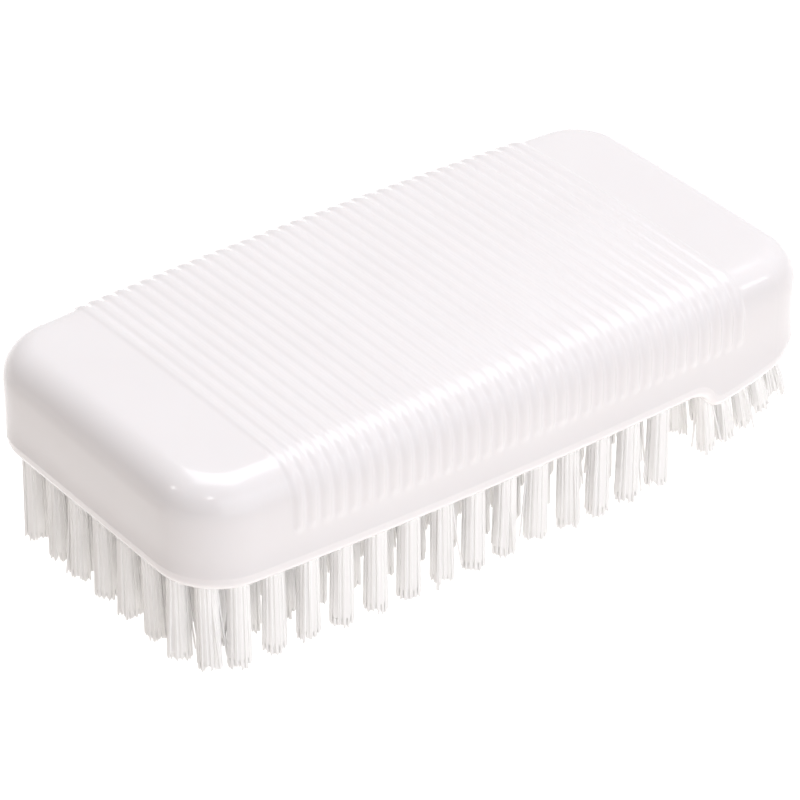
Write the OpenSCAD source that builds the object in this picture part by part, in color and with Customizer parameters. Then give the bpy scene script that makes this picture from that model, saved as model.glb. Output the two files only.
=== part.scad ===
// Nail brush: one ribbed moulded block, rows of nylon tufts and the anchor wires that hold them.
// X runs along the block with the nose at +X, Y runs across it, and the tuft tips stand on z = 0.

/* [Block] */
// Length of the block
block_length = 97; // [80:0.5:130]
// Width of the block at its ends, over the smooth sides
block_width = 47.2; // [42:0.1:60]
// Height of the block from the tuft face to the top at its ends
block_height = 14.3; // [11:0.1:20]
// How far the long sides bow out at mid-length, on each side
side_bow = 1.6; // [0:0.1:1.8]
// How far the top rises towards mid-length
length_crown = 0.4; // [0:0.1:2]
// How far the top rises towards its centre line
cross_crown = 0.25; // [0:0.05:1]
// Corner radius seen from above
corner_radius = 8.3; // [7:0.1:10]
// Radius of the edge round the top
top_edge_radius = 4.7; // [2:0.1:6]
// Radius of the edge round the underside
bottom_edge_radius = 1; // [0.4:0.1:1.4]

/* [Ribs] */
// Distance between ribs, taken to a whole number of ribs
rib_spacing = 1.95; // [1.6:0.05:3]
// Length of the smooth stretch at each end of the block
smooth_end = 13.35; // [10.5:0.05:25]
// Height of the ribs over the smooth surface
rib_height = 0.3; // [0.2:0.02:0.8]
// How far the ribs run down the sides below the rounded top edge
rib_reach = 4.5; // [2:0.1:5]
// Height over which the ribs rise to their full depth
rib_run_out = 1.8; // [0.5:0.1:1.9]

/* [Nose] */
// How far the inner edge of the nose stands below the tuft face
nose_drop = 2.95; // [2:0.05:4]
// Radius of the notch between the tuft face and the nose
notch_radius = 4.2; // [4:0.1:5]
// Tilt of the first facet of the nose, in degrees
nose_tilt = 7; // [3:0.5:8]
// Further tilt of each next facet, in degrees
nose_tilt_step = 3; // [1:0.5:4]

/* [Main tufts] */
// Free length of the main bristles, from the tuft face to their trimmed tips
bristle_length = 14.8; // [12:0.1:20]
// Distance between tufts along a row, taken to a whole number of tufts
tuft_pitch = 5; // [4.2:0.05:8]
// Distance from the plain end of the block to the first column of tufts
end_margin = 4.2; // [3.8:0.1:7]
// Distance from a side of the block to its outer row of tufts
side_margin = 5.3; // [4.6:0.1:7]
// Distance from the last column to the inner wall of the nose
notch_margin = 5.3; // [3.8:0.1:7]
// Diameter of the tuft holes
tuft_hole = 2.8; // [2.2:0.1:3.2]
// Depth of the tuft holes
tuft_hole_depth = 6.5; // [5:0.1:7.5]
// How far the near corner tuft at the plain end is drawn in, each way
corner_draw = 1.6; // [1:0.1:2]

/* [Nose tufts] */
// Free length of the nose bristles
nose_bristle_length = 10.6; // [8:0.1:11]
// Distance from the inner wall of the nose to its first row
nose_inner_margin = 2.2; // [2.2:0.05:4]
// Distance between nose rows
nose_row_pitch = 2.85; // [2.4:0.05:4]
// Distance from the last nose row to the end of the block
nose_end_margin = 3.9; // [3.8:0.1:6]
// Diameter of the nose holes
nose_hole = 2.1; // [1.6:0.1:2.2]
// Depth of the nose holes
nose_hole_depth = 5.5; // [4:0.1:6]
// How far the two outermost tufts of the last nose row are drawn in across the block
nose_corner_draw = 1.4; // [1:0.1:2.4]

/* [Bristle strands] */
// How far a strand leans outwards at its tip
tip_flare = 0.22; // [0:0.02:0.4]
// Largest sideways lean of a whole tuft at its tip
tuft_lean = 0.2; // [0:0.02:0.35]
// How far the shortest tips stay above the trimmed ones
tip_unevenness = 0.6; // [0:0.05:1]

/* [Anchor wires] */
// Thickness of the anchor wire
anchor_thickness = 0.35; // [0.25:0.05:0.5]
// Height of the anchor wire along the hole
anchor_height = 1.5; // [1:0.1:2]
// How far each end of an anchor bites into the wall of its hole
anchor_bite = 0.15; // [0.1:0.05:0.25]
// Bundle left between an anchor and the bottom of its hole
anchor_seat = 0.9; // [0.6:0.1:1.2]
// Turn of the anchors away from the length of the block, in degrees
anchor_turn = 30; // [0:5:90]

/* [Fit] */
// Thickness of the slice of the tuft face that each row of bristles is rooted in
slice_thickness = 0.8; // [0.6:0.1:1]
// Radial clearance of a tuft root in its hole
root_clearance = 0.04; // [0.02:0.01:0.08]
// Clearance round an anchor in the folded tuft
anchor_clearance = 0.05; // [0.02:0.01:0.1]
// Width of the rim between the side of the block and the slices
field_rim = 2.2; // [2:0.1:3]

/* [Hidden] */
plastic = "white";
nylon = "whitesmoke";
metal = "silver";
// Overrun of cuts past the faces that they open
overrun = 0.5;
// Rows of tufts on the flat face and on the nose, with a node for each
tuft_rows = 8;
nose_rows = 5;
// Strands that stand for the filaments of one tuft, and the depth to which the longest are trimmed flat
strands = 3;
tip_trim = 0.5;
half_length = block_length / 2;
half_width = block_width / 2;
face_z = bristle_length;
top_z = face_z + block_height;
// Ribbed zone, and the height above the tuft face where the ribs run out on the sides
rib_zone = block_length - 2 * smooth_end;
rib_count = round(rib_zone / rib_spacing);
rib_pitch = rib_zone / rib_count;
rib_end = block_height - top_edge_radius - rib_reach;
// Places along the block: the inner wall of the nose, the first nose row, and the ends of the main tuft field
nose_length = nose_inner_margin + (nose_rows - 1) * nose_row_pitch + nose_end_margin;
nose_start = half_length - nose_length;
nose_first_row = nose_start + nose_inner_margin;
first_column = end_margin - half_length;
last_column = nose_start - notch_margin;
tuft_columns = 1 + round((last_column - first_column) / tuft_pitch);
column_pitch = (last_column - first_column) / (tuft_columns - 1);
row_pitch = (block_width - 2 * side_margin) / (tuft_rows - 1);

// Places inside one rib pitch and the share of the rib height there: a rounded crest between grooves
rib_place_shares = [0, 0.25, 0.5, 0.75];
rib_height_shares = [0, 0.8, 1, 0.8];
// Corner steps in plan, and steps of the rounded edges in degrees up from level
corner_steps = 6;
bottom_angles = [60, 30, 0];
top_angles = [0, 22.5, 45, 67.5, 90];
// Places across the flat of the top, as shares of its half width
top_shares = [0.5, 0, -0.5];
// Margin of a slice beyond its outermost holes, and of the nose slices behind the nose's inner edge
slice_margin = 0.6;
nose_rim = 0.9;
// Corner radius of the area that the slices fill
field_radius = corner_radius - field_rim;
// Share of the nose's corner draw that the outer tufts of each nose row take, following the rounded corner
nose_draw_shares = [0, 0.07, 0.2, 0.5, 1];
// One strand's kite section: radii as shares of the hole diameter, and their angles
strand_radius_shares = [0.06, 0.41, 0.5, 0.41];
strand_angles = [0, -51, 0, 51];

// Underside of the block, as heights over the tuft face

notch_x = nose_start - notch_radius;
nose_edge_x = notch_x + sqrt(pow(notch_radius, 2) - pow(notch_radius - nose_drop, 2));
function facet_tilt(facet) = nose_tilt + facet * nose_tilt_step;
function facet_x(facet) = facet == 0 ? nose_edge_x : facet == nose_rows ? half_length + overrun
    : nose_first_row + (facet - 0.5) * nose_row_pitch;
function facet_z(facet) = facet == 0 ? -nose_drop
    : facet_z(facet - 1) + (facet_x(facet) - facet_x(facet - 1)) * tan(facet_tilt(facet - 1));
nose_corners = [for (facet = [0:nose_rows]) [facet_x(facet), facet_z(facet)]];
function under_z(x) = x <= notch_x ? 0 : x >= nose_edge_x ? lookup(x, nose_corners)
    : sqrt(pow(notch_radius, 2) - pow(x - notch_x, 2)) - notch_radius;

// Outer surface of the block

function rib_share(x) = let (place = (x + rib_zone / 2) / rib_pitch, part = place - floor(place))
    abs(x) >= rib_zone / 2 ? 0 : lookup(part, [
        for (step = [0:3]) [rib_place_shares[step], rib_height_shares[step]],
        [1, rib_height_shares[0]]
    ]);
function bow_scale(x) = 1 + side_bow / half_width * (1 - pow(x / half_length, 2));

// A station is an arc centre and the plan angle on it; straight stretches keep the angle at 90
corner_x = half_length - corner_radius;
stations = concat(
    [for (step = [0:corner_steps]) [-corner_x, 180 - 90 * step / corner_steps]],
    [[-(corner_x + rib_zone / 2) / 2, 90]],
    [for (rib = [0:rib_count - 1], share = rib_place_shares) [-rib_zone / 2 + (rib + share) * rib_pitch, 90]],
    [[rib_zone / 2, 90], [(corner_x + rib_zone / 2) / 2, 90]],
    [for (step = [0:corner_steps]) [corner_x, 90 - 90 * step / corner_steps]]
);

// A level is its inset from the outline, its height, the way the surface faces and its share of rib height
function levels(under) = concat(
    [[
        bottom_edge_radius * (1 - cos(bottom_angles[0]))
            + (bottom_edge_radius * (1 - sin(bottom_angles[0])) + overrun) * tan(bottom_angles[0]),
        face_z + under - overrun, 0, 0
    ]],
    [for (angle = bottom_angles) [
        bottom_edge_radius * (1 - cos(angle)), face_z + under + bottom_edge_radius * (1 - sin(angle)), 0, 0
    ]],
    [[0, face_z + rib_end, 0, 0], [0, face_z + rib_end + rib_run_out, 0, 1]],
    [for (angle = top_angles) [
        top_edge_radius * (1 - cos(angle)), top_z - top_edge_radius * (1 - sin(angle)), angle, 1
    ]]
);
function side_point(station, level, side) = let (
        reach = corner_radius - level[0],
        x = station[0] + reach * cos(station[1]),
        rib = rib_height * rib_share(x) * level[3],
        y = (half_width - corner_radius + reach * sin(station[1])) * bow_scale(x) + rib * cos(level[2]),
        crown = length_crown * (1 - pow(x / half_length, 2)) * sin(level[2])
    ) [x, side * y, level[1] + crown + rib * sin(level[2])];
function top_point(edge, share) = [edge[0], -edge[1] * share, edge[2] + cross_crown * (1 - pow(share, 2))];
function section(station) = let (
        under = under_z(station[0] + corner_radius * cos(station[1])),
        rows = levels(under),
        last = len(rows) - 1,
        edge = side_point(station, rows[last], 1)
    ) concat(
        [for (k = [0:last]) side_point(station, rows[k], -1)],
        [for (share = top_shares) top_point(edge, share)],
        [for (k = [last:-1:0]) side_point(station, rows[k], 1)]
    );
sections = [for (station = stations) section(station)];

// Tuft places

function row_y(row) = (row - (tuft_rows + 1) / 2) * row_pitch;
function is_outer(row) = row == 1 || row == tuft_rows;
// Main tufts: place across the tuft face, in rows bowed like the sides, with the near corner drawn in
function main_place(row, column) = let (
        draw = row == 1 && column == 1 ? corner_draw : 0,
        x = first_column + (column - 1) * column_pitch + draw
    ) [x, row_y(row) * bow_scale(x) + draw];
// Nose tufts: place on the facet of their row
function nose_place(facet, column) = let (
        x = nose_first_row + facet * nose_row_pitch,
        draw = is_outer(column) ? nose_corner_draw * nose_draw_shares[facet] : 0
    ) [
        x,
        row_y(column) * bow_scale(x) - sign(row_y(column)) * draw,
        face_z + facet_z(facet) + (x - facet_x(facet)) * tan(facet_tilt(facet))
    ];

module on_face(row, column) {
    place = main_place(row, column);
    translate([place[0], place[1], face_z]) children();
}
module on_nose(facet, column) {
    translate(nose_place(facet, column)) rotate([0, -facet_tilt(facet), 0]) children();
}

// Block

module loft(loops) {
    count = len(loops[0]);
    last = len(loops) - 1;
    points = [for (loop = loops) for (point = loop) point];
    sides = [for (i = [0:last - 1], k = [0:count - 1])
        let (next = (k + 1) % count, a = i * count, b = a + count)
        each [[a + k, a + next, b + next], [a + k, b + next, b + k]]];
    function cap(base) = [for (k = [0:floor(count / 2) - 1]) let (across = count - 1 - k)
        each across - 1 == k + 1 ? [[base + k, base + k + 1, base + across]]
            : [[base + k, base + k + 1, base + across - 1], [base + k, base + across - 1, base + across]]];
    start = [for (face = cap(0)) [face[0], face[2], face[1]]];
    polyhedron(points, concat(sides, start, cap(last * count)), convexity = 10);
}

// An outline in the XZ plane, measured from the tuft face and drawn right across the block
module across_block(outline) {
    translate([0, block_width, face_z]) rotate([90, 0, 0])
        linear_extrude(height = 2 * block_width) polygon(outline);
}

// Everything under the block: below the tuft face, the round notch and the facets of the nose
module underside_space() {
    depth = -bristle_length;
    across_block(concat(
        [[-block_length, depth], [-block_length, 0], [notch_x, 0], [notch_x, -notch_radius]],
        nose_corners,
        [[block_length, facet_z(nose_rows)], [block_length, depth]]
    ));
    translate([notch_x, block_width, face_z - notch_radius]) rotate([90, 0, 0])
        cylinder(r = notch_radius, h = 2 * block_width, $fn = 96);
}

// The rounded area of the underside that is taken up by the slices, fuller round the far corner tuft
module tuft_field() {
    x = half_length - field_rim;
    y = half_width + side_bow / 2 - field_rim;
    translate([0, 0, face_z - bristle_length / 2]) linear_extrude(height = bristle_length) {
        square([2 * x, 2 * (y - field_radius)], center = true);
        square([2 * (x - field_radius), 2 * y], center = true);
        for (sx = [-1, 1], sy = [-1, 1]) translate([sx * (x - field_radius), sy * (y - field_radius)])
            circle(r = field_radius, $fn = 64);
        translate(main_place(tuft_rows, 1)) circle(d = tuft_hole + slice_margin, $fn = 64);
    }
}

// Slice of the flat tuft face between two places across the block
module face_slice(low_y, high_y) {
    end_x = last_column + tuft_hole / 2 + slice_margin;
    intersection() {
        tuft_field();
        translate([-half_length, low_y, face_z - nose_drop])
            cube([half_length + end_x, high_y - low_y, nose_drop + slice_thickness]);
    }
}
// Lower line of the nose slices, from the rim behind the nose's inner edge to the end of the block
slice_foot = [for (facet = [0:nose_rows])
    facet == 0 ? nose_corners[0] + nose_rim * [1, tan(nose_tilt)] : nose_corners[facet]];
// Upper line of the nose slices, mitred where two of them meet
slice_top = [for (facet = [0:nose_rows]) let (
        turn = facet == 0 || facet == nose_rows ? 0 : nose_tilt_step / 2,
        tilt = facet == nose_rows ? facet_tilt(facet - 1) : facet_tilt(facet) - turn
    ) slice_foot[facet] + slice_thickness / cos(turn) * [-sin(tilt), cos(tilt)]];
module nose_slice(facet) {
    intersection() {
        tuft_field();
        across_block([slice_top[facet], slice_foot[facet], slice_foot[facet + 1], slice_top[facet + 1]]);
    }
}

module anchor(hole, depth) {
    translate([0, 0, depth - anchor_seat - anchor_height / 2]) rotate([0, 0, anchor_turn])
        cube([hole + 2 * anchor_bite, anchor_thickness, anchor_height], center = true);
}
// A blind tuft hole with the grooves that the anchor's ends bite into its wall
module drilling(hole, depth) {
    translate([0, 0, -overrun]) cylinder(d = hole, h = depth + overrun, $fn = 32);
    anchor(hole, depth);
}

module body() {
    color(plastic) difference() {
        loft(sections);
        underside_space();
        face_slice(-half_width, half_width);
        for (facet = [0:nose_rows - 1]) nose_slice(facet);
        for (row = [1:tuft_rows], column = [1:tuft_columns])
            on_face(row, column) drilling(tuft_hole, tuft_hole_depth);
        for (facet = [0:nose_rows - 1], column = [1:tuft_rows])
            on_nose(facet, column) drilling(nose_hole, nose_hole_depth);
    }
}

// Tufts

// Root of a tuft: the bundle folded round its anchor at the bottom of the hole
module root(hole, depth) {
    difference() {
        translate([0, 0, slice_thickness / 2])
            cylinder(d = hole - 2 * root_clearance, h = depth - slice_thickness / 2, $fn = 32);
        translate([0, 0, depth - anchor_seat - anchor_height / 2]) rotate([0, 0, anchor_turn])
            cube([2 * hole, anchor_thickness + 2 * anchor_clearance, anchor_height + 2 * anchor_clearance],
                center = true);
    }
}

// Strands of one tuft, each a four-sided prism that leans outwards and stays in its own sector
module bundle(hole, length, spin, lean, shortfalls) {
    for (strand = [0:strands - 1]) {
        turn = spin + 360 * strand / strands;
        foot = [for (corner = [0:3])
            let (angle = turn + strand_angles[corner], r = hole * strand_radius_shares[corner])
            [r * cos(angle), r * sin(angle), slice_thickness / 2]];
        shift = lean + tip_flare * [cos(turn), sin(turn)];
        drop = length + slice_thickness / 2 - shortfalls[strand];
        tip = [for (point = foot) point + [shift[0], shift[1], -drop]];
        walls = [for (corner = [0:3]) let (next = (corner + 1) % 4)
            each [[corner, next, 4 + next], [corner, 4 + next, 4 + corner]]];
        polyhedron(concat(foot, tip), concat([[0, 3, 2], [0, 2, 1], [4, 5, 6], [4, 6, 7]], walls));
    }
}

// How far each strand of a row ends short of the trimmed length: the longest are cut flat at the trim
function shortfalls(seed, count) = let (over = rands(-tip_trim, tip_unevenness, count * strands, seed))
    [for (tuft = [0:count - 1]) [for (strand = [0:strands - 1]) max(0, over[tuft * strands + strand])]];
function leans(seed, count) = let (turns = rands(0, 360, count, seed))
    [for (turn = turns) tuft_lean * [cos(turn), sin(turn)]];
function spins(seed, count) = rands(0, 360 / strands, count, seed);

module tuft_row(row) {
    low_y = row == 1 ? -half_width : row_y(row) - row_pitch / 2;
    high_y = row == tuft_rows ? half_width : row_y(row) + row_pitch / 2;
    short = shortfalls(row, tuft_columns);
    lean = leans(row + tuft_rows, tuft_columns);
    spin = spins(row + 2 * tuft_rows, tuft_columns);
    color(nylon) {
        difference() {
            face_slice(low_y, high_y);
            underside_space();
        }
        for (column = [1:tuft_columns]) on_face(row, column) {
            root(tuft_hole, tuft_hole_depth);
            bundle(tuft_hole, bristle_length, spin[column - 1], lean[column - 1], short[column - 1]);
        }
    }
}

module nose_row(facet) {
    seed = 3 * tuft_rows + facet;
    short = shortfalls(seed, tuft_rows);
    lean = leans(seed + nose_rows, tuft_rows);
    spin = spins(seed + 2 * nose_rows, tuft_rows);
    color(nylon) {
        nose_slice(facet);
        for (column = [1:tuft_rows]) on_nose(facet, column) {
            root(nose_hole, nose_hole_depth);
            bundle(nose_hole, nose_bristle_length, spin[column - 1], lean[column - 1], short[column - 1]);
        }
    }
}

// Anchor wires

module anchors_row(row) {
    color(metal) for (column = [1:tuft_columns]) on_face(row, column) anchor(tuft_hole, tuft_hole_depth);
}
module nose_anchors(facet) {
    color(metal) for (column = [1:tuft_rows]) on_nose(facet, column) anchor(nose_hole, nose_hole_depth);
}

body();
tuft_row(1);  // tuft_row_1
tuft_row(2);  // tuft_row_2
tuft_row(3);  // tuft_row_3
tuft_row(4);  // tuft_row_4
tuft_row(5);  // tuft_row_5
tuft_row(6);  // tuft_row_6
tuft_row(7);  // tuft_row_7
tuft_row(8);  // tuft_row_8
nose_row(0);  // nose_row_1
nose_row(1);  // nose_row_2
nose_row(2);  // nose_row_3
nose_row(3);  // nose_row_4
nose_row(4);  // nose_row_5
anchors_row(1);  // anchors_row_1
anchors_row(2);  // anchors_row_2
anchors_row(3);  // anchors_row_3
anchors_row(4);  // anchors_row_4
anchors_row(5);  // anchors_row_5
anchors_row(6);  // anchors_row_6
anchors_row(7);  // anchors_row_7
anchors_row(8);  // anchors_row_8
nose_anchors(0);  // nose_anchors_1
nose_anchors(1);  // nose_anchors_2
nose_anchors(2);  // nose_anchors_3
nose_anchors(3);  // nose_anchors_4
nose_anchors(4);  // nose_anchors_5
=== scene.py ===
"""Nail brush: a ribbed, glossy white moulding with rows of nylon tufts under it, and a short tufted nose."""

import math
import random

import bmesh
import bpy
from mathutils import Matrix, Vector
from mathutils.kdtree import KDTree


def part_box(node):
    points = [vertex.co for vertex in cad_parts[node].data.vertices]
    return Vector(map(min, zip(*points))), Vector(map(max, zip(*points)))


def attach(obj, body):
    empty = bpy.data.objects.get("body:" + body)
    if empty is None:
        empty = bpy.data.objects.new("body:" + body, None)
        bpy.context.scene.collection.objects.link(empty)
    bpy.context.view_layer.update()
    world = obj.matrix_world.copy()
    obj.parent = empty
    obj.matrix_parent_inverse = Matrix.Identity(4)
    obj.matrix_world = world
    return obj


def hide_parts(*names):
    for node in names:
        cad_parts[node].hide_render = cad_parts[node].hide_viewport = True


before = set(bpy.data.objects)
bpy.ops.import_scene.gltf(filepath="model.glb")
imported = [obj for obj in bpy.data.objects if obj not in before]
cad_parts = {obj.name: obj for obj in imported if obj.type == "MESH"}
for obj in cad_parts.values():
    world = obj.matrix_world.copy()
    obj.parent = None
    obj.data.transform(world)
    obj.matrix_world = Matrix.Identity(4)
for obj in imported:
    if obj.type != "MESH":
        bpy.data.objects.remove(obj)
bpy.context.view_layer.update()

MM = 0.001
BODY = "root"

# Block, with its length from the body part of model.glb
HALF_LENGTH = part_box("body")[1].x
HALF_WIDTH = 23.6 * MM
FACE_Z = 14.8 * MM
TOP_Z = FACE_Z + 14.3 * MM
SIDE_BOW = 1.6 * MM
LENGTH_CROWN = 0.4 * MM
CROSS_CROWN = 0.25 * MM
CORNER_RADIUS = 8.3 * MM
CORNER_STEPS = 16
TOP_EDGE_RADIUS = 4.7 * MM
TOP_EDGE_STEPS = 12
BOTTOM_EDGE_RADIUS = 1.6 * MM
BOTTOM_EDGE_STEPS = 6

# Ribs: their zone, their height on the sides and its share over the top, and where they run out on the sides,
# from the tuft face up. The power narrows the grooves between the round crests.
RIB_COUNT = 36
RIB_ZONE = 70.3 * MM
RIB_PITCH = RIB_ZONE / RIB_COUNT
RIB_HEIGHT = 0.3 * MM
TOP_RIB_SHARE = 0.7
RIB_END = 5.1 * MM
RIB_RUN_OUT = 1.8 * MM
GROOVE_POWER = 1.3
RIB_STEPS = 12

# Parting line of the mould, over the underside's edge
PARTING_HEIGHT = 2.1 * MM
PARTING_WIDTH = 0.12 * MM
PARTING_PROUD = 0.02 * MM

# Notch and nose under the +X end
NOSE_START = 31 * MM
NOTCH_RADIUS = 4.2 * MM
NOSE_DROP = 2.95 * MM
NOSE_EDGE_ROUNDING = 1.3 * MM
NOSE_TILT = math.radians(7)
NOSE_TILT_STEP = math.radians(3)
NOSE_FIRST_ROW = 33.2 * MM
NOSE_ROW_PITCH = 2.85 * MM
NOSE_ROWS = 5

# Tufts and their holes. The near corner tuft is drawn in, and so are the outer tufts of each nose row, by a
# share each, round the corners of the block.
ROWS = 8
COLUMNS = 15
FIELD_WIDTH = 36.6 * MM
ROW_PITCH = FIELD_WIDTH / (ROWS - 1)
COLUMN_PITCH = 5 * MM
FIRST_COLUMN = -44.3 * MM
CORNER_DRAW = 1.6 * MM
NOSE_CORNER_DRAW = 1.4 * MM
NOSE_DRAW_SHARES = (0, 0.07, 0.2, 0.5, 1)
HOLE_RADIUS = 1.4 * MM
HOLE_DEPTH = 6.5 * MM
NOSE_HOLE_RADIUS = 1.05 * MM
NOSE_HOLE_DEPTH = 5.5 * MM
HOLE_RIM = 0.12 * MM
HOLE_SIDES = 16
NOSE_BRISTLE_LENGTH = 10.6 * MM

# Filaments: nylon of a common brush gauge, round a plain core that keeps light from passing between them
FILAMENT_DIAMETER = 0.27 * MM
FILAMENT_ROOT = 2 * MM
FILAMENT_RING_STEP = 0.24 * MM
FILAMENT_STEPS = 4
CORE_INSET = 0.01 * MM
CORE_SHORT = 1.6 * MM
CORE_STEPS = 4

# Set of the tufts: how far they widen, and how their clumps and single filaments lean and fall short
MAIN_SPREAD = 0.14
NOSE_SPREAD = 0.3
BEND_POWER = 1.5
TUFT_LEAN = 0.3 * MM
CLUMP_COUNT = 9
CLUMP_PLACE_SHARES = (0.2, 0.8)
CLUMP_LEAN = 0.02 * MM
CLUMP_SHORT = 0.5 * MM
SPLAYED_CHANCE = 0.12
SPLAYED_LEANS = (0.5 * MM, 1.1 * MM)
SPLAYED_WIDTH = 0.18
FILAMENT_WANDER = 0.015 * MM
FILAMENT_SHORT = 0.2 * MM
STRAY_CHANCE = 0.01
STRAY_LEANS = (0.3 * MM, 1.3 * MM)
STRAY_SHORT = 1.5 * MM

# Meshes: points closer than this are one, and edges sharper than these angles are shaded as edges
MERGE_DISTANCE = MM / 1000
SHARP_EDGE = math.radians(40)
SHARP_FILAMENT_END = math.radians(70)


def smooth_step(value):
    """0 below 0, 1 above 1 and a smooth rise between."""
    value = min(max(value, 0), 1)
    return value * value * (3 - 2 * value)


def lerp(a, b, share):
    return a + (b - a) * share


def towards(turn):
    return Vector((math.cos(turn), math.sin(turn)))


def linked(name, data):
    """A new object of the scene."""
    item = bpy.data.objects.new(name, data)
    bpy.context.scene.collection.objects.link(item)
    return item


def smooth_piece(name, mesh, sharp_angle):
    """The mesh as a smooth-shaded piece at the origin, with its hard edges kept sharp."""
    mesh.shade_smooth()
    mesh.set_sharp_from_angle(angle=sharp_angle)
    return linked(name, mesh)


# Underside of the block, along its length
def nose_tilt(x):
    """Tilt of the nose's underside, which steepens towards the end."""
    row = min(max((x - NOSE_FIRST_ROW) / NOSE_ROW_PITCH, 0), NOSE_ROWS - 1)
    return NOSE_TILT + NOSE_TILT_STEP * row


def underside_line():
    """Points (x, height over the tuft face) along the notch, the nose's rounded edge and its foot."""
    notch_x = NOSE_START - NOTCH_RADIUS
    corner_angle = math.acos(1 - NOSE_DROP / NOTCH_RADIUS)
    corner = Vector((notch_x + NOTCH_RADIUS * math.sin(corner_angle), -NOSE_DROP))
    arc_end = corner_angle - NOSE_EDGE_ROUNDING / NOTCH_RADIUS
    arc_steps = 12
    points = []
    for step in range(arc_steps + 1):
        angle = arc_end * step / arc_steps
        height = NOTCH_RADIUS * (math.cos(angle) - 1)
        points.append(Vector((notch_x + NOTCH_RADIUS * math.sin(angle), height)))
    rounding_start = points[-1]
    rounding_end = corner + NOSE_EDGE_ROUNDING * Vector((1, math.tan(NOSE_TILT)))
    rounding_steps = 6
    for step in range(1, rounding_steps + 1):
        share = step / rounding_steps
        points.append(lerp(lerp(rounding_start, corner, share), lerp(corner, rounding_end, share), share))
    foot_steps = 24
    foot_step = (HALF_LENGTH - rounding_end.x) / foot_steps
    for step in range(foot_steps):
        last = points[-1]
        points.append(last + foot_step * Vector((1, math.tan(nose_tilt(last.x + foot_step / 2)))))
    return points


UNDERSIDE = underside_line()


def under(x):
    """Height of the underside over the tuft face at x."""
    if x <= UNDERSIDE[0].x:
        return 0
    for a, b in zip(UNDERSIDE, UNDERSIDE[1:]):
        if x <= b.x:
            return lerp(a.y, b.y, (x - a.x) / (b.x - a.x))
    return UNDERSIDE[-1].y


# Places of the tufts: the rows follow the bow of the sides, and the near corner tuft is drawn in
def bow_scale(x):
    return 1 + SIDE_BOW / HALF_WIDTH * (1 - (x / HALF_LENGTH) ** 2)


def row_y(row):
    return (row - (ROWS - 1) / 2) * ROW_PITCH


def main_places(row):
    places = []
    for column in range(COLUMNS):
        draw = CORNER_DRAW if row == 0 and column == 0 else 0
        x = FIRST_COLUMN + column * COLUMN_PITCH + draw
        places.append((x, row_y(row) * bow_scale(x) + draw))
    return places


def nose_places(row):
    x = NOSE_FIRST_ROW + row * NOSE_ROW_PITCH
    places = []
    for column in range(ROWS):
        y = row_y(column)
        draw = NOSE_CORNER_DRAW * NOSE_DRAW_SHARES[row] if column in (0, ROWS - 1) else 0
        places.append((x, y * bow_scale(x) - math.copysign(draw, y)))
    return places


def row_tilt(row):
    """Tilt of a nose row's tufts and holes, square to the underside there."""
    return NOSE_TILT + row * NOSE_TILT_STEP


def into_block(tilt):
    """The way a hole of this tilt runs into the block."""
    return Vector((-math.sin(tilt), 0, math.cos(tilt)))


def hole_list():
    """Every tuft hole as (x, y, radius, depth, tilt)."""
    holes = []
    for row in range(ROWS):
        holes += [(x, y, HOLE_RADIUS, HOLE_DEPTH, 0) for x, y in main_places(row)]
    for row in range(NOSE_ROWS):
        holes += [(x, y, NOSE_HOLE_RADIUS, NOSE_HOLE_DEPTH, row_tilt(row)) for x, y in nose_places(row)]
    return holes


# Block
def edges_at(bm, height):
    """The edges of the blank that lie at a height."""
    return [e for e in bm.edges if all(abs(v.co.z - height) < MM for v in e.verts)]


def round_edges(bm, edges, radius, segments):
    bmesh.ops.bevel(bm, geom=edges, offset=radius, offset_type="OFFSET", segments=segments, profile=0.5,
                    affect="EDGES", material=-1)


def block_blank():
    """The block without ribs, notch or holes: a box with its corners and edges rounded."""
    bm = bmesh.new()
    size = Vector((2 * HALF_LENGTH, 2 * HALF_WIDTH, TOP_Z - FACE_Z))
    middle = Vector((0, 0, (TOP_Z + FACE_Z) / 2))
    bmesh.ops.create_cube(bm, size=1, matrix=Matrix.LocRotScale(middle, None, size))
    upright = [e for e in bm.edges if abs(e.verts[0].co.z - e.verts[1].co.z) > MM]
    round_edges(bm, upright, CORNER_RADIUS, CORNER_STEPS)
    round_edges(bm, edges_at(bm, TOP_Z), TOP_EDGE_RADIUS, TOP_EDGE_STEPS)
    round_edges(bm, edges_at(bm, FACE_Z), BOTTOM_EDGE_RADIUS, BOTTOM_EDGE_STEPS)
    return bm


def cut_at(bm, geometry, axis, place):
    """Cuts the geometry across an axis, so that it has edges there, and returns it with the new parts."""
    normal = Vector([float(axis == k) for k in range(3)])
    return bmesh.ops.bisect_plane(bm, geom=geometry, dist=MERGE_DISTANCE, plane_co=normal * place,
                                  plane_no=normal)["geom"]


def cut_places():
    """Places along X, Y and Z of the cuts that carry the ribs, the crown, the nose and the parting line."""
    rib_steps = RIB_COUNT * RIB_STEPS
    ribs = [-RIB_ZONE / 2 + RIB_ZONE * step / rib_steps for step in range(rib_steps + 1)]
    smooth_steps = 6
    ends = []
    for step in range(1, smooth_steps):
        place = lerp(RIB_ZONE / 2, HALF_LENGTH - CORNER_RADIUS, step / smooth_steps)
        ends += [-place, place]
    half_top_steps = 8
    top = [HALF_WIDTH * step / half_top_steps for step in range(2 - half_top_steps, half_top_steps - 1)]
    run_out_steps = 6
    run_out = [FACE_Z + RIB_END + RIB_RUN_OUT * step / run_out_steps for step in range(run_out_steps + 1)]
    parting = [FACE_Z + PARTING_HEIGHT + PARTING_WIDTH * step / 2 for step in (-1, 0, 1)]
    return ribs + ends + [point.x for point in UNDERSIDE], top, run_out + parting


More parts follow.
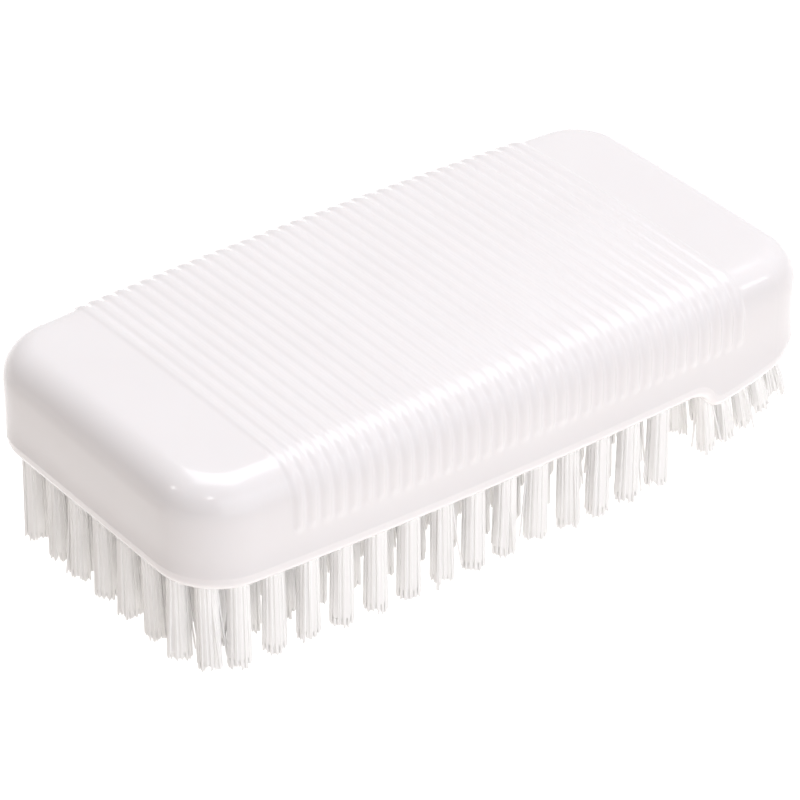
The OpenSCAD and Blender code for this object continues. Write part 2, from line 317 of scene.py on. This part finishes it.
def rib_share(x):
    """Height of the ribs at x as a share of their full height: round crests between rounded grooves."""
    if abs(x) >= RIB_ZONE / 2:
        return 0
    return 1 - (0.5 + 0.5 * math.cos(math.tau * (x + RIB_ZONE / 2) / RIB_PITCH)) ** GROOVE_POWER


def shape_outside(bm):
    """Raises the ribs and the parting line, bows the long sides and crowns the top."""
    core_y = HALF_WIDTH - TOP_EDGE_RADIUS
    core_z = TOP_Z - TOP_EDGE_RADIUS
    for vertex in bm.verts:
        x, y, z = vertex.co
        out = Vector((0, y - min(max(y, -core_y), core_y), max(z - core_z, 0)))
        if z <= core_z:
            out = Vector((0, y, 0)) if abs(y) > core_y else Vector((math.copysign(1, x), 0, 0))
        out.normalize()
        crown = LENGTH_CROWN * (1 - (x / HALF_LENGTH) ** 2) + CROSS_CROWN * max(0, 1 - (y / core_y) ** 2)
        depth = smooth_step((z - FACE_Z - RIB_END) / RIB_RUN_OUT)
        proud = RIB_HEIGHT * lerp(1, TOP_RIB_SHARE, out.z ** 2) * rib_share(x) * depth
        if abs(z - FACE_Z - PARTING_HEIGHT) < PARTING_WIDTH / 4:
            proud += PARTING_PROUD
        vertex.co.y *= bow_scale(x)
        vertex.co += out * proud
        vertex.co.z += crown * max(0, z - core_z) / TOP_EDGE_RADIUS


def close_underside(bm, holes):
    """Fills the open underside round a rim circle for each hole and returns the new faces."""
    edges = [e for e in bm.edges if e.is_boundary]
    for x, y, radius, _, _ in holes:
        ring = bmesh.ops.create_circle(bm, cap_ends=False, radius=radius + HOLE_RIM, segments=HOLE_SIDES,
                                       matrix=Matrix.Translation((x, y, FACE_Z)))
        edges += list({e for v in ring["verts"] for e in v.link_edges})
    filled = bmesh.ops.triangle_fill(bm, use_beauty=True, use_dissolve=False, edges=edges)
    return [part for part in filled["geom"] if isinstance(part, bmesh.types.BMFace)]


def sink_holes(bm, holes):
    """Chamfers the rim of each hole and sinks its wall and bottom into the block."""
    tree = KDTree(len(holes))
    for index, (x, y, _, _, _) in enumerate(holes):
        tree.insert((x, y, 0), index)
    tree.balance()

    def own_hole(vertex):
        return holes[tree.find((vertex.co.x, vertex.co.y, 0))[1]]

    def extruded(edges):
        result = bmesh.ops.extrude_edge_only(bm, edges=edges)["geom"]
        verts = [part for part in result if isinstance(part, bmesh.types.BMVert)]
        return verts, [part for part in result if isinstance(part, bmesh.types.BMEdge)]

    rim = [e for e in bm.edges if e.is_boundary]
    verts, rim = extruded(rim)
    for vertex in verts:
        x, y, radius, _, tilt = own_hole(vertex)
        middle = Vector((x, y, vertex.co.z))
        vertex.co = middle + (vertex.co - middle) * radius / (radius + HOLE_RIM)
        vertex.co += HOLE_RIM * into_block(tilt)
    verts, rim = extruded(rim)
    for vertex in verts:
        _, _, _, depth, tilt = own_hole(vertex)
        vertex.co += depth * into_block(tilt)
    bmesh.ops.holes_fill(bm, edges=rim, sides=0)


def brush_block():
    bm = block_blank()
    for axis, places in enumerate(cut_places()):
        for place in places:
            cut_at(bm, bm.verts[:] + bm.edges[:] + bm.faces[:], axis, place)
    flat = [f for f in bm.faces if all(v.co.z < FACE_Z + MERGE_DISTANCE for v in f.verts)]
    bmesh.ops.delete(bm, geom=flat, context="FACES")
    shape_outside(bm)
    holes = hole_list()
    filled = close_underside(bm, holes)
    for point in UNDERSIDE:
        geometry = list({part for face in filled for part in (face, *face.verts, *face.edges)})
        filled = [part for part in cut_at(bm, geometry, 0, point.x) if isinstance(part, bmesh.types.BMFace)]
    for vertex in bm.verts:
        if vertex.co.z < FACE_Z + PARTING_HEIGHT + PARTING_WIDTH:
            vertex.co.z += under(vertex.co.x)
    sink_holes(bm, holes)
    bmesh.ops.recalc_face_normals(bm, faces=bm.faces[:])
    mesh = bpy.data.meshes.new("brush_block")
    bm.to_mesh(mesh)
    bm.free()
    return smooth_piece("brush_block", mesh, SHARP_EDGE)


# Tufts
def packed_places(radius):
    """Turn and place of the filaments across a hole, in rings from its wall inwards, each beside the next."""
    places = []
    reach = radius - FILAMENT_DIAMETER / 2
    while reach > 0:
        count = max(1, int(math.tau * reach / FILAMENT_DIAMETER))
        for index in range(count):
            stagger = len(places) % 2 / 2
            turn = math.tau * (index + stagger) / count
            places.append((turn, towards(turn) * reach))
        reach -= FILAMENT_RING_STEP
    return places


def clump_list(chance):
    """The clumps of a tuft as (turn, half the angle that it takes up, lean, how much shorter it is)."""
    clumps = []
    for clump in range(CLUMP_COUNT):
        turn = math.tau * (clump + chance.uniform(*CLUMP_PLACE_SHARES)) / CLUMP_COUNT
        splayed = chance.random() < SPLAYED_CHANCE
        lean = chance.uniform(*SPLAYED_LEANS) if splayed else chance.uniform(0, CLUMP_LEAN)
        width = SPLAYED_WIDTH if splayed else math.pi
        clumps.append((turn, width, towards(turn) * lean, abs(chance.gauss(0, CLUMP_SHORT))))
    return clumps


def tuft(curve, foot, tilt, radius, length, widening, chance):
    """Adds the filaments of one tuft to the curve: packed in their hole, spread and ragged at the cut end."""
    down = -into_block(tilt)
    across = Vector((math.cos(tilt), 0, math.sin(tilt)))
    side = Vector((0, 1, 0))

    def placed(offset, along):
        return foot + across * offset.x + side * offset.y + down * along

    tuft_lean = towards(chance.uniform(0, math.tau)) * chance.uniform(0, TUFT_LEAN)
    clumps = clump_list(chance)
    core = curve.splines.new("POLY")
    core.points.add(CORE_STEPS)
    for step, point in enumerate(core.points):
        along = (length - CORE_SHORT) * step / CORE_STEPS
        bend = (along / length) ** BEND_POWER
        point.co = (*placed(tuft_lean * bend, along), 1)
        point.radius = 2 * (radius - CORE_INSET) * (1 + widening * bend) / FILAMENT_DIAMETER
    for turn, start in packed_places(radius):
        out = start.length / radius
        near = [c for c in clumps if math.cos(c[0] - turn) > math.cos(c[1])]
        _, _, clump_lean, clump_short = max(near, key=lambda c: math.cos(c[0] - turn) - c[1])
        wander = Vector((chance.gauss(0, FILAMENT_WANDER), chance.gauss(0, FILAMENT_WANDER)))
        spread = start * widening + tuft_lean + clump_lean * out + wander
        short = clump_short + abs(chance.gauss(0, FILAMENT_SHORT))
        if chance.random() < STRAY_CHANCE:
            spread += towards(turn) * chance.uniform(*STRAY_LEANS)
            short += chance.uniform(0, STRAY_SHORT)
        points = [(start, -FILAMENT_ROOT)]
        for step in range(FILAMENT_STEPS + 1):
            share = step / FILAMENT_STEPS
            points.append((start + spread * share ** BEND_POWER, (length - short) * share))
        spline = curve.splines.new("POLY")
        spline.points.add(len(points) - 1)
        for point, (offset, along) in zip(spline.points, points):
            point.co = (*placed(offset, along), 1)


def tuft_row(name, feet, tilt, radius, length, widening, seed):
    """One row of tufts as a mesh."""
    curve = bpy.data.curves.new(name, "CURVE")
    curve.dimensions = "3D"
    curve.bevel_depth = FILAMENT_DIAMETER / 2
    curve.bevel_resolution = 1
    curve.use_fill_caps = True
    chance = random.Random(seed)
    for foot in feet:
        tuft(curve, foot, tilt, radius, length, widening, chance)
    drawn = linked(name + "_curve", curve)
    mesh = bpy.data.meshes.new_from_object(drawn.evaluated_get(bpy.context.evaluated_depsgraph_get()))
    bpy.data.objects.remove(drawn)
    bpy.data.curves.remove(curve)
    mesh.name = name
    return smooth_piece(name, mesh, SHARP_FILAMENT_END)


def main_tufts(row):
    feet = [Vector((x, y, FACE_Z + under(x))) for x, y in main_places(row)]
    return tuft_row(f"tufts_{row + 1}", feet, 0, HOLE_RADIUS, FACE_Z, MAIN_SPREAD, row)


def nose_tufts(row):
    feet = [Vector((x, y, FACE_Z + under(x))) for x, y in nose_places(row)]
    return tuft_row(f"nose_tufts_{row + 1}", feet, row_tilt(row), NOSE_HOLE_RADIUS, NOSE_BRISTLE_LENGTH,
                    NOSE_SPREAD, ROWS + row)


# Materials
def colour(code):
    """An sRGB hex colour as linear RGBA."""
    channels = [int(code[place:place + 2], 16) / 255 for place in (1, 3, 5)]
    return (*[c / 12.92 if c <= 0.04045 else ((c + 0.055) / 1.055) ** 2.4 for c in channels], 1)


def add_node(tree, kind, values=None, links=None, **settings):
    """Adds one node, sets its settings and its sockets' values, and links the sockets named in links."""
    node = tree.nodes.new(kind)
    for name, value in settings.items():
        setattr(node, name, value)
    for socket, value in (values or {}).items():
        node.inputs[socket].default_value = value
    for socket, source in (links or {}).items():
        tree.links.new(source, node.inputs[socket])
    return node


def new_material(name):
    material = bpy.data.materials.new(name)
    material.use_nodes = True
    material.node_tree.nodes.clear()
    return material, material.node_tree


def moulded_polypropylene():
    """Injection-moulded white polypropylene: glossy, faintly cloudy, with a trace of orange peel."""
    material, tree = new_material("moulded_polypropylene")
    where = add_node(tree, "ShaderNodeTexCoord").outputs["Object"]
    cloud_size = 14 * MM
    cloud = add_node(tree, "ShaderNodeTexNoise", {"Scale": 1 / cloud_size, "Detail": 3}, {"Vector": where})
    tone = add_node(tree, "ShaderNodeMix", {"A": colour("#F0EDEE"), "B": colour("#F4F2F3")},
                    {"Factor": cloud.outputs["Fac"]}, data_type="RGBA")
    gloss = add_node(tree, "ShaderNodeMapRange", {"To Min": 0.14, "To Max": 0.2},
                     {"Value": cloud.outputs["Fac"]})
    peel_size = 1.6 * MM
    peel_depth = 0.02 * MM
    peel = add_node(tree, "ShaderNodeTexNoise", {"Scale": 1 / peel_size, "Detail": 2}, {"Vector": where})
    bump = add_node(tree, "ShaderNodeBump", {"Strength": 0.25, "Distance": peel_depth},
                    {"Height": peel.outputs["Fac"]})
    scatter_depth = 2 * MM
    shader = add_node(
        tree, "ShaderNodeBsdfPrincipled",
        {"IOR": 1.49, "Subsurface Weight": 0.12, "Subsurface Radius": (1, 0.9, 0.85),
         "Subsurface Scale": scatter_depth},
        {"Base Color": tone.outputs["Result"], "Roughness": gloss.outputs["Result"],
         "Normal": bump.outputs["Normal"]},
    )
    add_node(tree, "ShaderNodeOutputMaterial", links={"Surface": shader.outputs["BSDF"]})
    return material


def drawn_nylon():
    """Drawn nylon filament: milky, satin, with faint streaks along its length."""
    material, tree = new_material("drawn_nylon")
    where = add_node(tree, "ShaderNodeTexCoord").outputs["Object"]
    streak_scale = (1, 1, 0.03)
    along = add_node(tree, "ShaderNodeMapping", {"Scale": streak_scale}, {"Vector": where})
    streak_width = 0.5 * MM
    streak = add_node(tree, "ShaderNodeTexNoise", {"Scale": 1 / streak_width, "Detail": 1},
                      {"Vector": along.outputs["Vector"]})
    tone = add_node(tree, "ShaderNodeMix", {"A": colour("#FBFBFA"), "B": colour("#FFFFFF")},
                    {"Factor": streak.outputs["Fac"]}, data_type="RGBA")
    shader = add_node(tree, "ShaderNodeBsdfPrincipled", {"IOR": 1.53, "Roughness": 0.38},
                      {"Base Color": tone.outputs["Result"]})
    add_node(tree, "ShaderNodeOutputMaterial", links={"Surface": shader.outputs["BSDF"]})
    return material


def flattened_wire():
    """Flattened nickel-silver wire: a dull silver with fine lines from drawing."""
    material, tree = new_material("flattened_wire")
    where = add_node(tree, "ShaderNodeTexCoord").outputs["Object"]
    line_scale = (0.1, 0.1, 1)
    along = add_node(tree, "ShaderNodeMapping", {"Scale": line_scale}, {"Vector": where})
    line_width = 0.06 * MM
    lines = add_node(tree, "ShaderNodeTexNoise", {"Scale": 1 / line_width},
                     {"Vector": along.outputs["Vector"]})
    gloss = add_node(tree, "ShaderNodeMapRange", {"To Min": 0.28, "To Max": 0.45},
                     {"Value": lines.outputs["Fac"]})
    tone = add_node(tree, "ShaderNodeMix", {"A": colour("#BDB9B0"), "B": colour("#CFCBC4")},
                    {"Factor": lines.outputs["Fac"]}, data_type="RGBA")
    shader = add_node(tree, "ShaderNodeBsdfPrincipled", {"Metallic": 1},
                      {"Base Color": tone.outputs["Result"], "Roughness": gloss.outputs["Result"]})
    add_node(tree, "ShaderNodeOutputMaterial", links={"Surface": shader.outputs["BSDF"]})
    return material


def clear_view(tree):
    """1 for what the camera sees straight, in a gloss or through glass, and 0 for the light on things."""
    path = add_node(tree, "ShaderNodeLightPath")
    share = path.outputs["Is Camera Ray"]
    for ray in ("Is Glossy Ray", "Is Transmission Ray"):
        share = add_node(tree, "ShaderNodeMath", links={0: share, 1: path.outputs[ray]},
                         operation="ADD").outputs[0]
    return share


def white_paper():
    """White paper: matt white that the camera sees a little brighter, so that only a shadow shows on it."""
    material, tree = new_material("white_paper")
    lift_strength = 0.7
    lift = add_node(tree, "ShaderNodeMath", {1: lift_strength}, {0: clear_view(tree)}, operation="MULTIPLY")
    matt = add_node(tree, "ShaderNodeBsdfDiffuse", {"Color": colour("#F4F4F4")})
    glow = add_node(tree, "ShaderNodeEmission", {"Color": (1, 1, 1, 1)}, {"Strength": lift.outputs[0]})
    both = add_node(tree, "ShaderNodeAddShader", links={0: matt.outputs[0], 1: glow.outputs[0]})
    add_node(tree, "ShaderNodeOutputMaterial", links={"Surface": both.outputs[0]})
    return material


def paint(piece, material):
    piece.data.materials.clear()
    piece.data.materials.append(material)


# Studio: a sheet of white paper on a lit table, soft lamps round it and a pale world
LAMP_AIM = Vector((0, 0, 0.02))
LAMPS = (
    # Name, place, side and power of a square lamp, and its tint
    ("overhead", (0.2, 0.2, 0.9), 0.7, 5.2, "#F7F9FF"),
    ("front", (-0.05, -0.94, 0.34), 1, 4.8, "#F4F7FF"),
    ("key", (0.58, -0.55, 0.62), 0.16, 0.8, "#FFFFFF"),
    ("left", (-0.5, -0.42, 0.77), 0.08, 0.35, "#FFFFFF"),
    ("back_left", (-0.69, 0.38, 0.63), 0.08, 0.35, "#FFFFFF"),
    ("table", (0, 0, -0.5), 1.2, 7, "#FFFBF8"),
)
WORLD_TINT = "#FFF4EC"
WORLD_STRENGTH = 0.37


def paper_floor():
    """The paper sheet. The table's lamp shines through it, so it neither blocks nor throws back light."""
    half_side = 3
    bm = bmesh.new()
    bmesh.ops.create_grid(bm, x_segments=1, y_segments=1, size=half_side)
    mesh = bpy.data.meshes.new("paper_floor")
    bm.to_mesh(mesh)
    bm.free()
    floor = linked("paper_floor", mesh)
    paint(floor, white_paper())
    floor.visible_diffuse = False
    floor.visible_shadow = False


def soft_light(name, place, size, power, tint):
    """A square area light at a place, turned towards the brush."""
    light = bpy.data.lights.new(name, "AREA")
    light.shape = "SQUARE"
    light.size = size
    light.energy = power
    light.color = colour(tint)[:3]
    lamp = linked(name, light)
    lamp.location = place
    lamp.rotation_euler = (LAMP_AIM - Vector(place)).to_track_quat("-Z", "Y").to_euler()


def studio_world():
    world = bpy.data.worlds.new("studio_world")
    bpy.context.scene.world = world
    world.use_nodes = True
    tree = world.node_tree
    tree.nodes.clear()
    light = add_node(tree, "ShaderNodeBackground", {"Color": colour(WORLD_TINT), "Strength": WORLD_STRENGTH})
    white = add_node(tree, "ShaderNodeBackground", {"Color": (1, 1, 1, 1), "Strength": 1})
    mixed = add_node(tree, "ShaderNodeMixShader",
                     links={0: clear_view(tree), 1: light.outputs[0], 2: white.outputs[0]})
    add_node(tree, "ShaderNodeOutputWorld", links={"Surface": mixed.outputs[0]})


def camera():
    """A level camera, long of lens, looking down at the near side and the plain end."""
    data = bpy.data.cameras.new("camera")
    data.sensor_width = 36
    data.lens = 186.6
    data.clip_start = 0.01
    place = Vector((-265.76, -352.18, 300.2)) * MM
    aim = Vector((1.1, 2.81, 11.06)) * MM
    view = linked("camera", data)
    view.location = place
    view.rotation_euler = (aim - place).to_track_quat("-Z", "Y").to_euler()
    bpy.context.scene.camera = view


polypropylene = moulded_polypropylene()
nylon = drawn_nylon()
wire = flattened_wire()

block = brush_block()
paint(block, polypropylene)
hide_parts("body")
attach(block, BODY)

rows = [(main_tufts(row), f"tuft_row_{row + 1}") for row in range(ROWS)]
rows += [(nose_tufts(row), f"nose_row_{row + 1}") for row in range(NOSE_ROWS)]
for tufts, node in rows:
    paint(tufts, nylon)
    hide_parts(node)
    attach(tufts, BODY)

anchors = [f"anchors_row_{row + 1}" for row in range(ROWS)]
anchors += [f"nose_anchors_{row + 1}" for row in range(NOSE_ROWS)]
for node in anchors:
    paint(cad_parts[node], wire)

paper_floor()
for lamp in LAMPS:
    soft_light(*lamp)
studio_world()
camera()
bpy.context.scene.view_settings.view_transform = "Standard"
